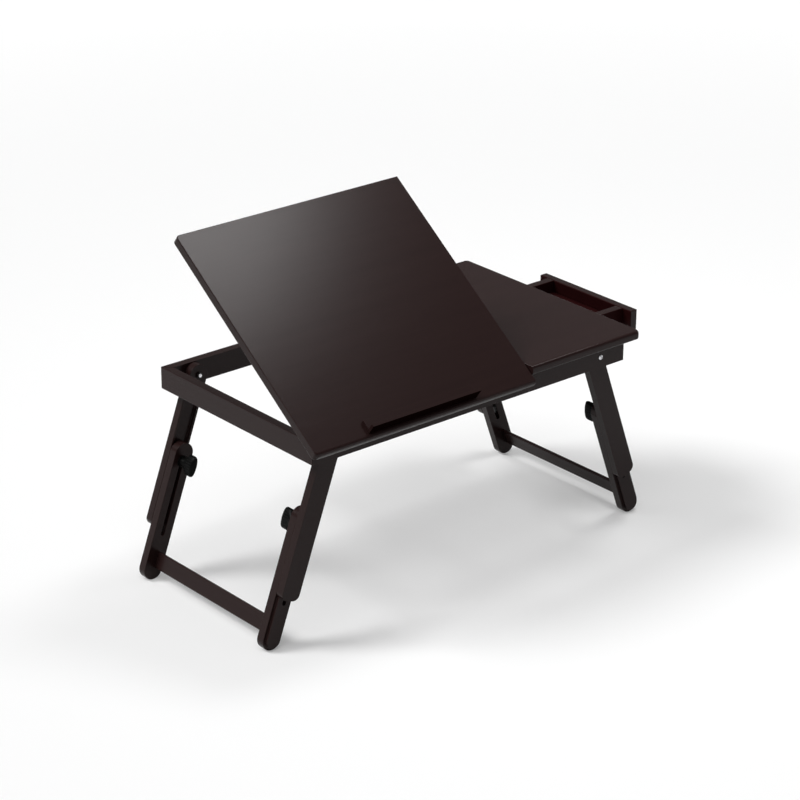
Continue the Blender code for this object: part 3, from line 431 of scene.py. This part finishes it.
def makeScrewTree():
    # A screw stands on each point and looks along its "aim": a domed, slotted head and a threaded shank
    tree, sizes, end = startTree("threadedScrews", [
        ("Head", "Bool", True), ("Head Radius", "Float", 0.0034), ("Head Height", "Float", 0.0016),
        ("Head Sink", "Float", 0.0), ("Slot Width", "Float", 0.0008), ("Slot Depth", "Float", 0.0010),
        ("Shank Radius", "Float", 0.0024), ("Length", "Float", 0.02), ("Thread Pitch", "Float", 0.0008),
        ("Thread Depth", "Float", 0.00025), ("Rings", "Int", 80), ("Material", "Material")])

    # The shank's rings are drawn in by a helix of the thread's pitch
    shank = wire(tree, addNode(tree, "GeometryNodeMeshCylinder", fill_type="TRIANGLE_FAN"),
                 Vertices=screwForm["shankSides"], Side_Segments=sizes["Rings"], Radius=sizes["Shank Radius"],
                 Depth=sizes["Length"])
    lowered = moveUp(tree, shank.outputs["Mesh"], mathNode(tree, "MULTIPLY", sizes["Length"], -0.5))
    axes = readPlace(tree)
    around = mathNode(tree, "ARCTAN2", axes["Y"], axes["X"])
    around = mathNode(tree, "DIVIDE", around, 2 * math.pi)
    along = mathNode(tree, "DIVIDE", axes["Z"], sizes["Thread Pitch"])
    turns = mathNode(tree, "FRACT", mathNode(tree, "SUBTRACT", along, around))
    ridge = mathNode(tree, "ABSOLUTE", mathNode(tree, "SUBTRACT", turns, 0.5))
    depth = mathNode(tree, "MULTIPLY", mathNode(tree, "MULTIPLY", ridge, 2.0), sizes["Thread Depth"])
    scale = mathNode(tree, "SUBTRACT", 1.0, mathNode(tree, "DIVIDE", depth, sizes["Shank Radius"]))
    drawnX = mathNode(tree, "MULTIPLY", axes["X"], scale)
    drawnY = mathNode(tree, "MULTIPLY", axes["Y"], scale)
    threaded = setPlace(tree, lowered, combine(tree, drawnX, drawnY, axes["Z"]))

    # The head is a disc whose top is raised into a dome
    disc = wire(tree, addNode(tree, "GeometryNodeMeshCylinder"), Vertices=screwForm["headSides"], Side_Segments=1,
                Fill_Segments=screwForm["headRings"], Radius=sizes["Head Radius"], Depth=sizes["Head Height"])
    disc = moveUp(tree, disc.outputs["Mesh"], mathNode(tree, "MULTIPLY", sizes["Head Height"], 0.5))
    flat = wire(tree, addNode(tree, "ShaderNodeVectorMath", operation="LENGTH"),
                Vector=combine(tree, axes["X"], axes["Y"], 0))
    share = mathNode(tree, "DIVIDE", flat.outputs["Value"], sizes["Head Radius"])
    fall = mathNode(tree, "POWER", share, screwForm["domePower"])
    crown = mathNode(tree, "SUBTRACT", 1.0, mathNode(tree, "MULTIPLY", fall, screwForm["domeDrop"]))
    raised = mathNode(tree, "MULTIPLY", axes["Z"], crown)
    dome = setPlace(tree, disc, combine(tree, axes["X"], axes["Y"], raised))

    # A sunk head has a cone under the dome, made one solid with it before the crossed slot is cut
    cone = wire(tree, addNode(tree, "GeometryNodeMeshCone"), Vertices=screwForm["headSides"],
                Radius_Top=sizes["Head Radius"], Radius_Bottom=sizes["Shank Radius"], Depth=sizes["Head Sink"])
    sunk = moveUp(tree, cone.outputs["Mesh"], mathNode(tree, "MULTIPLY", sizes["Head Sink"], -1.0))
    span = mathNode(tree, "MULTIPLY", sizes["Head Radius"], screwForm["slotReach"])
    tall = mathNode(tree, "MULTIPLY", sizes["Slot Depth"], 2.0)
    bars = []
    for long, wide in ((span, sizes["Slot Width"]), (sizes["Slot Width"], span)):
        bar = wire(tree, addNode(tree, "GeometryNodeMeshCube"), Size=combine(tree, long, wide, tall))
        bars.append(moveUp(tree, bar.outputs["Mesh"], sizes["Head Height"]))
    hasSink = mathNode(tree, "GREATER_THAN", sizes["Head Sink"], screwForm["leastSink"])
    crowned = addNode(tree, "GeometryNodeMeshBoolean", operation="UNION", solver="EXACT")
    slotted = addNode(tree, "GeometryNodeMeshBoolean", operation="DIFFERENCE", solver="EXACT")
    for part in (dome, onlyIf(tree, hasSink, sunk)):
        tree.links.new(part, crowned.inputs["Mesh 2"])
    tree.links.new(crowned.outputs["Mesh"], slotted.inputs["Mesh 1"])
    for bar in bars:
        tree.links.new(bar, slotted.inputs["Mesh 2"])
    whole = addNode(tree, "GeometryNodeJoinGeometry")
    tree.links.new(threaded, whole.inputs[0])
    tree.links.new(onlyIf(tree, sizes["Head"], slotted.outputs["Mesh"]), whole.inputs[0])

    # One screw on each point, turned to its aim
    aim = wire(tree, addNode(tree, "GeometryNodeInputNamedAttribute", data_type="FLOAT_VECTOR"), Name="aim")
    facing = wire(tree, addNode(tree, "FunctionNodeAlignRotationToVector", axis="Z"),
                  Vector=aim.outputs["Attribute"])
    spread = wire(tree, addNode(tree, "GeometryNodeInstanceOnPoints"), Points=sizes["Geometry"],
                  Instance=whole.outputs[0], Rotation=facing.outputs[0])
    endTree(tree, spread.outputs[0], sizes["Material"], end)
    return tree


ribForm = {"sides": 10, "rings": 8}


def makeRibTree():
    # Grip ribs stand in a row on both faces of a wing that is oval in section
    tree, sizes, end = startTree("gripRibs", [
        ("Count", "Int", 7), ("Spread", "Float", 0.021), ("Rib Radius", "Float", 0.0006),
        ("Rib Length", "Float", 0.012), ("Wing Reach", "Float", 0.014), ("Wing Thickness", "Float", 0.011),
        ("Height", "Float", 0.0), ("Turn", "Float", 0.0), ("Place", "Vector"), ("Material", "Material")])
    first = mathNode(tree, "MULTIPLY", sizes["Spread"], -0.5)
    gap = mathNode(tree, "DIVIDE", sizes["Spread"], mathNode(tree, "SUBTRACT", sizes["Count"], 1.0))
    row = wire(tree, addNode(tree, "GeometryNodeMeshLine"), Count=sizes["Count"],
               Start_Location=combine(tree, 0, sizes["Height"], first), Offset=combine(tree, 0, 0, gap))
    rib = wire(tree, addNode(tree, "GeometryNodeMeshUVSphere"), Segments=ribForm["sides"], Rings=ribForm["rings"],
               Radius=1.0)
    long = mathNode(tree, "MULTIPLY", sizes["Rib Length"], 0.5)
    rib = wire(tree, addNode(tree, "GeometryNodeTransform"), Geometry=rib.outputs["Mesh"],
               Rotation=(math.pi / 2, 0, 0), Scale=combine(tree, sizes["Rib Radius"], sizes["Rib Radius"], long))
    axes = readPlace(tree)
    share = mathNode(tree, "POWER", mathNode(tree, "DIVIDE", axes["Z"], sizes["Wing Reach"]), 2.0)
    face = mathNode(tree, "SQRT", mathNode(tree, "SUBTRACT", 1.0, share))
    face = mathNode(tree, "MULTIPLY", mathNode(tree, "MULTIPLY", face, sizes["Wing Thickness"]), 0.5)
    joined = addNode(tree, "GeometryNodeJoinGeometry")
    for side in (1.0, -1.0):
        across = mathNode(tree, "MULTIPLY", face, side)
        laid = setPlace(tree, row.outputs["Mesh"], combine(tree, across, axes["Y"], axes["Z"]))
        ribs = wire(tree, addNode(tree, "GeometryNodeInstanceOnPoints"), Points=laid, Instance=rib.outputs[0])
        tree.links.new(ribs.outputs[0], joined.inputs[0])
    turned = wire(tree, addNode(tree, "GeometryNodeTransform"), Geometry=joined.outputs[0],
                  Translation=sizes["Place"], Rotation=combine(tree, 0, sizes["Turn"], 0))
    whole = addNode(tree, "GeometryNodeJoinGeometry")
    tree.links.new(sizes["Geometry"], whole.inputs[0])
    tree.links.new(turned.outputs[0], whole.inputs[0])
    endTree(tree, whole.outputs[0], sizes["Material"], end)
    return tree


screwTree = makeScrewTree()
ribTree = makeRibTree()


def grow(piece, tree, values):
    # Runs a tree on a piece and keeps the result as a plain mesh
    modifier = piece.modifiers.new(tree.name, "NODES")
    modifier.node_group = tree
    for item in tree.interface.items_tree:
        if item.item_type == "SOCKET" and item.in_out == "INPUT" and item.name in values:
            modifier[item.identifier] = values[item.name]
    settleShape(piece)
    return piece


def pointPiece(name, places, aims):
    # Bare points for the screws to stand on, each with the way that its head looks
    data = bpy.data.meshes.new(name)
    data.from_pydata([tuple(place) for place in places], [], [])
    aim = data.attributes.new("aim", "FLOAT_VECTOR", "POINT")
    for index, way in enumerate(aims):
        aim.data[index].vector = tuple(way)
    return addObject(name, data)


def finishGrown(piece, nodes):
    # The tree has set the material; the piece stands for these nodes of one body
    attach(piece, nodeBody[nodes[0]])
    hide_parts(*nodes)


def onAxis(node, depth):
    # The point at this Y on the axis of a node that lies from front to back
    low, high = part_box(node)
    return (low[0] + high[0]) / 2, depth, (low[2] + high[2]) / 2


corners = [f"{end}_{side}" for side in ("left", "right") for end in ("front", "back")]
screwSizes = {
    "pivotBolts": {"Head Radius": 0.0034, "Head Height": 0.0016, "Slot Width": 0.0008, "Slot Depth": 0.0009,
                   "Shank Radius": 0.0024, "Thread Pitch": 0.0008, "Thread Depth": 0.00028, "Rings": 150},
    "clampScrews": {"Head": False, "Shank Radius": 0.0024, "Thread Pitch": 0.0008, "Thread Depth": 0.00028,
                    "Rings": 160},
    "stopScrews": {"Head Radius": 0.0032, "Head Height": 0.0006, "Head Sink": 0.0013, "Slot Width": 0.0007,
                   "Slot Depth": 0.0005, "Shank Radius": 0.0016, "Thread Pitch": 0.0009, "Thread Depth": 0.00035,
                   "Rings": 90},
}


def makePivotBolts():
    # The heads lie on the outer faces of the front and back rails
    sizes = dict(screwSizes["pivotBolts"])
    nodes = ["pivot_bolt_" + corner for corner in corners]
    places, aims = [], []
    for node in nodes:
        low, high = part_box(node)
        way = -1 if "front" in node else 1
        outer = low[1] if way < 0 else high[1]
        places.append(onAxis(node, outer - way * sizes["Head Height"]))
        aims.append((0, way, 0))
        sizes["Length"] = high[1] - low[1] - sizes["Head Height"]
    sizes["Material"] = brightSteel
    finishGrown(grow(pointPiece("pivot_bolts", places, aims), screwTree, sizes), nodes)


def makeClampScrews():
    # Each runs from inside its knob into the leg's brass insert
    for corner in corners:
        node = "clamp_screw_" + corner
        sizes = dict(screwSizes["clampScrews"])
        low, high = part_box(node)
        way = 1 if "front" in corner else -1
        sizes["Length"] = high[1] - low[1]
        sizes["Material"] = brightSteel
        place = onAxis(node, high[1] if way > 0 else low[1])
        finishGrown(grow(pointPiece(node + "_threaded", [place], [(0, way, 0)]), screwTree, sizes), [node])


def makeStopScrews():
    # Sunk in the raised panel's underside, they run up into the stop along the panel's normal
    sizes = dict(screwSizes["stopScrews"])
    nodes = ["stop_screw_left", "stop_screw_right"]
    normal = Vector((0, -math.sin(pose["tilt"]), math.cos(pose["tilt"])))
    places = []
    for node in nodes:
        spots = [vertex.co for vertex in frame["nodes"][node].data.vertices]
        middle = (Vector(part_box(node)[0]) + Vector(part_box(node)[1])) / 2
        foot = min(spot.dot(normal) for spot in spots)
        tip = max(spot.dot(normal) for spot in spots)
        places.append(middle + normal * (foot + sizes["Head Height"] - middle.dot(normal)))
        sizes["Length"] = tip - foot - sizes["Head Height"]
    sizes["Material"] = brightSteel
    finishGrown(grow(pointPiece("stop_screws", places, [-normal, -normal]), screwTree, sizes), nodes)


# The wings span this part of the knob's length, counted from its neck
knobSizes = {"length": 0.0245, "wingFrom": 0.5, "wingTo": 0.85,
             "ribs": {"Count": 7, "Spread": 0.0205, "Rib Radius": 0.00055, "Rib Length": 0.0115,
                      "Wing Reach": 0.014, "Wing Thickness": 0.011}}


def knobTurn(corner):
    # Measures which way the knob's long wing lies, seen along its axis
    spots = [vertex.co for vertex in frame["nodes"]["wing_knob_" + corner].data.vertices]
    centre = sum(spots, Vector()) / len(spots)
    far = max(spots, key=lambda spot: (spot.x - centre.x) ** 2 + (spot.z - centre.z) ** 2)
    return math.atan2(far.x - centre.x, far.z - centre.z)


def makeKnobs():
    # The moulded knob gets its grip ribs, set to the lean of its leg and its own turn
    for corner in corners:
        node = "wing_knob_" + corner
        low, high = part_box(node)
        sizes = dict(knobSizes["ribs"])
        way = 1 if "front" in corner else -1
        neck = low[1] if way > 0 else high[1]
        middle = neck + way * knobSizes["length"] * (knobSizes["wingFrom"] + knobSizes["wingTo"]) / 2
        sizes["Place"] = onAxis(node, middle)
        sizes["Turn"] = knobTurn(corner)
        sizes["Material"] = blackPlastic
        finishGrown(grow(easedCopy(node, 0), ribTree, sizes), [node])


makePivotBolts()
makeClampScrews()
makeStopScrews()
makeKnobs()
print("screws threaded, knobs ribbed")


def makeEasedPieces():
    # Every other node; the panels' edges are rounded in the CAD
    grown = {kind + corner for kind in ("pivot_bolt_", "clamp_screw_", "wing_knob_") for corner in corners}
    grown |= {"stop_screw_left", "stop_screw_right"}
    for node in sorted(set(frame["nodes"]) - grown):
        isTimber = slotOf[node] in ("dark_lacquer", "drawer_wood")
        width = easing["timber" if isTimber else "metal"]
        if node in ("tilting_panel", "fixed_panel"):
            width = 0
        seat(easedCopy(node, width), node, finishOf(node))


makeEasedPieces()
print("pieces eased and finished")


# Stage: floor, lights and camera

# The floor shows pale to the eye and throws less light up than it shows; its far part fades to white
floorSettings = {"size": 60.0, "colour": (0.67, 0.67, 0.67, 1), "bounce": (0.33, 0.33, 0.33, 1), "roughness": 0.9,
                 "lift": 0.235, "farLift": 0.42, "fadeFrom": 1.0, "fadeTo": 4.0}


def makeFloor():
    half = floorSettings["size"] / 2
    data = bpy.data.meshes.new("floor")
    data.from_pydata([(-half, -half, 0), (half, -half, 0), (half, half, 0), (-half, half, 0)], [], [(0, 1, 2, 3)])
    floor = addObject("floor", data)
    material, tree, shader, place = startMaterial("paleFloor")
    rays = addNode(tree, "ShaderNodeLightPath").outputs
    base = mixColour(tree, rays["Is Diffuse Ray"], floorSettings["colour"], floorSettings["bounce"])
    distance = addNode(tree, "ShaderNodeVectorMath", operation="LENGTH")
    feed(tree, distance.inputs[0], place)
    fade = rangeNode(tree, distance.outputs["Value"], floorSettings["fadeFrom"], floorSettings["fadeTo"],
                     floorSettings["lift"], floorSettings["farLift"], soft=True)
    lift = mathNode(tree, "MULTIPLY", seenByEye(tree, rays), fade)
    wire(tree, shader, Base_Color=base, Roughness=floorSettings["roughness"], Specular_IOR_Level=0.0,
         Emission_Color=(1, 1, 1, 1), Emission_Strength=lift)
    data.materials.append(material)


# The world lights evenly; near the horizon it shows as a white backdrop, which throws no more light
backdrop = {"light": 0.2, "shown": 1.0, "whiteBelow": 0.05, "greyAbove": 0.14}


def makeWorld():
    world = bpy.data.worlds.new("studio")
    bpy.context.scene.world = world
    world.use_nodes = True
    tree = world.node_tree
    rays = addNode(tree, "ShaderNodeLightPath").outputs
    way = addNode(tree, "ShaderNodeTexCoord").outputs["Generated"]
    height = wire(tree, addNode(tree, "ShaderNodeSeparateXYZ"), Vector=way).outputs["Z"]
    fade = rangeNode(tree, height, backdrop["whiteBelow"], backdrop["greyAbove"], backdrop["shown"],
                     backdrop["light"], soft=True)
    extra = mathNode(tree, "SUBTRACT", fade, backdrop["light"])
    extra = mathNode(tree, "MULTIPLY", extra, seenByEye(tree, rays))
    strength = mathNode(tree, "ADD", extra, backdrop["light"])
    wire(tree, tree.nodes["Background"], Color=(1, 1, 1, 1), Strength=strength)


# Two broad suns light everything evenly; the small lamp gives the raised panel its soft sheen
sunSettings = {
    "keySun": {"from": (-0.58, 0.42, 0.75), "spread": 24, "strength": 2.2},
    "topSun": {"from": (-0.35, -0.25, 1.0), "spread": 50, "strength": 0.9},
}
sheenLamp = {"place": (0.597, -0.006, 1.83), "target": (-0.28, 0.10, 0.46), "size": 0.5, "power": 9.6}


def aimed(place, target):
    return (Vector(target) - Vector(place)).to_track_quat("-Z", "Y").to_euler()


def addLamps():
    for name, values in sunSettings.items():
        lamp = bpy.data.lights.new(name, "SUN")
        lamp.angle = math.radians(values["spread"])
        lamp.energy = values["strength"]
        addObject(name, lamp).rotation_euler = aimed(values["from"], (0, 0, 0))
    lamp = bpy.data.lights.new("sheenLamp", "AREA")
    lamp.shape = "DISK"
    lamp.size = sheenLamp["size"]
    lamp.energy = sheenLamp["power"]
    holder = addObject("sheenLamp", lamp)
    holder.location = sheenLamp["place"]
    holder.rotation_euler = aimed(sheenLamp["place"], sheenLamp["target"])


# The photograph's viewpoint, fitted to the table's edges; angles in degrees, lens and sensor in millimetres
view = {"azimuth": -40.41529, "elevation": 23.43436, "roll": 0.31029, "distance": 3.72084,
        "aim": (0.03992, 0.05953, 0.17493), "lens": 125.412, "sensor": 36, "reach": 100}


def makeCamera():
    azimuth, elevation = math.radians(view["azimuth"]), math.radians(view["elevation"])
    back = Vector((math.sin(azimuth) * math.cos(elevation), -math.cos(azimuth) * math.cos(elevation),
                   math.sin(elevation)))
    lens = bpy.data.cameras.new("camera")
    lens.lens = view["lens"]
    lens.sensor_width = view["sensor"]
    lens.clip_end = view["reach"]
    camera = addObject("camera", lens)
    turn = (-back).to_track_quat("-Z", "Y").to_matrix().to_4x4()
    roll = Matrix.Rotation(math.radians(view["roll"]), 4, "Z")
    camera.matrix_world = Matrix.Translation(Vector(view["aim"]) + back * view["distance"]) @ turn @ roll
    bpy.context.scene.camera = camera


makeFloor()
makeWorld()
addLamps()
makeCamera()
bpy.context.scene.view_settings.view_transform = "Standard"
print("stage set")
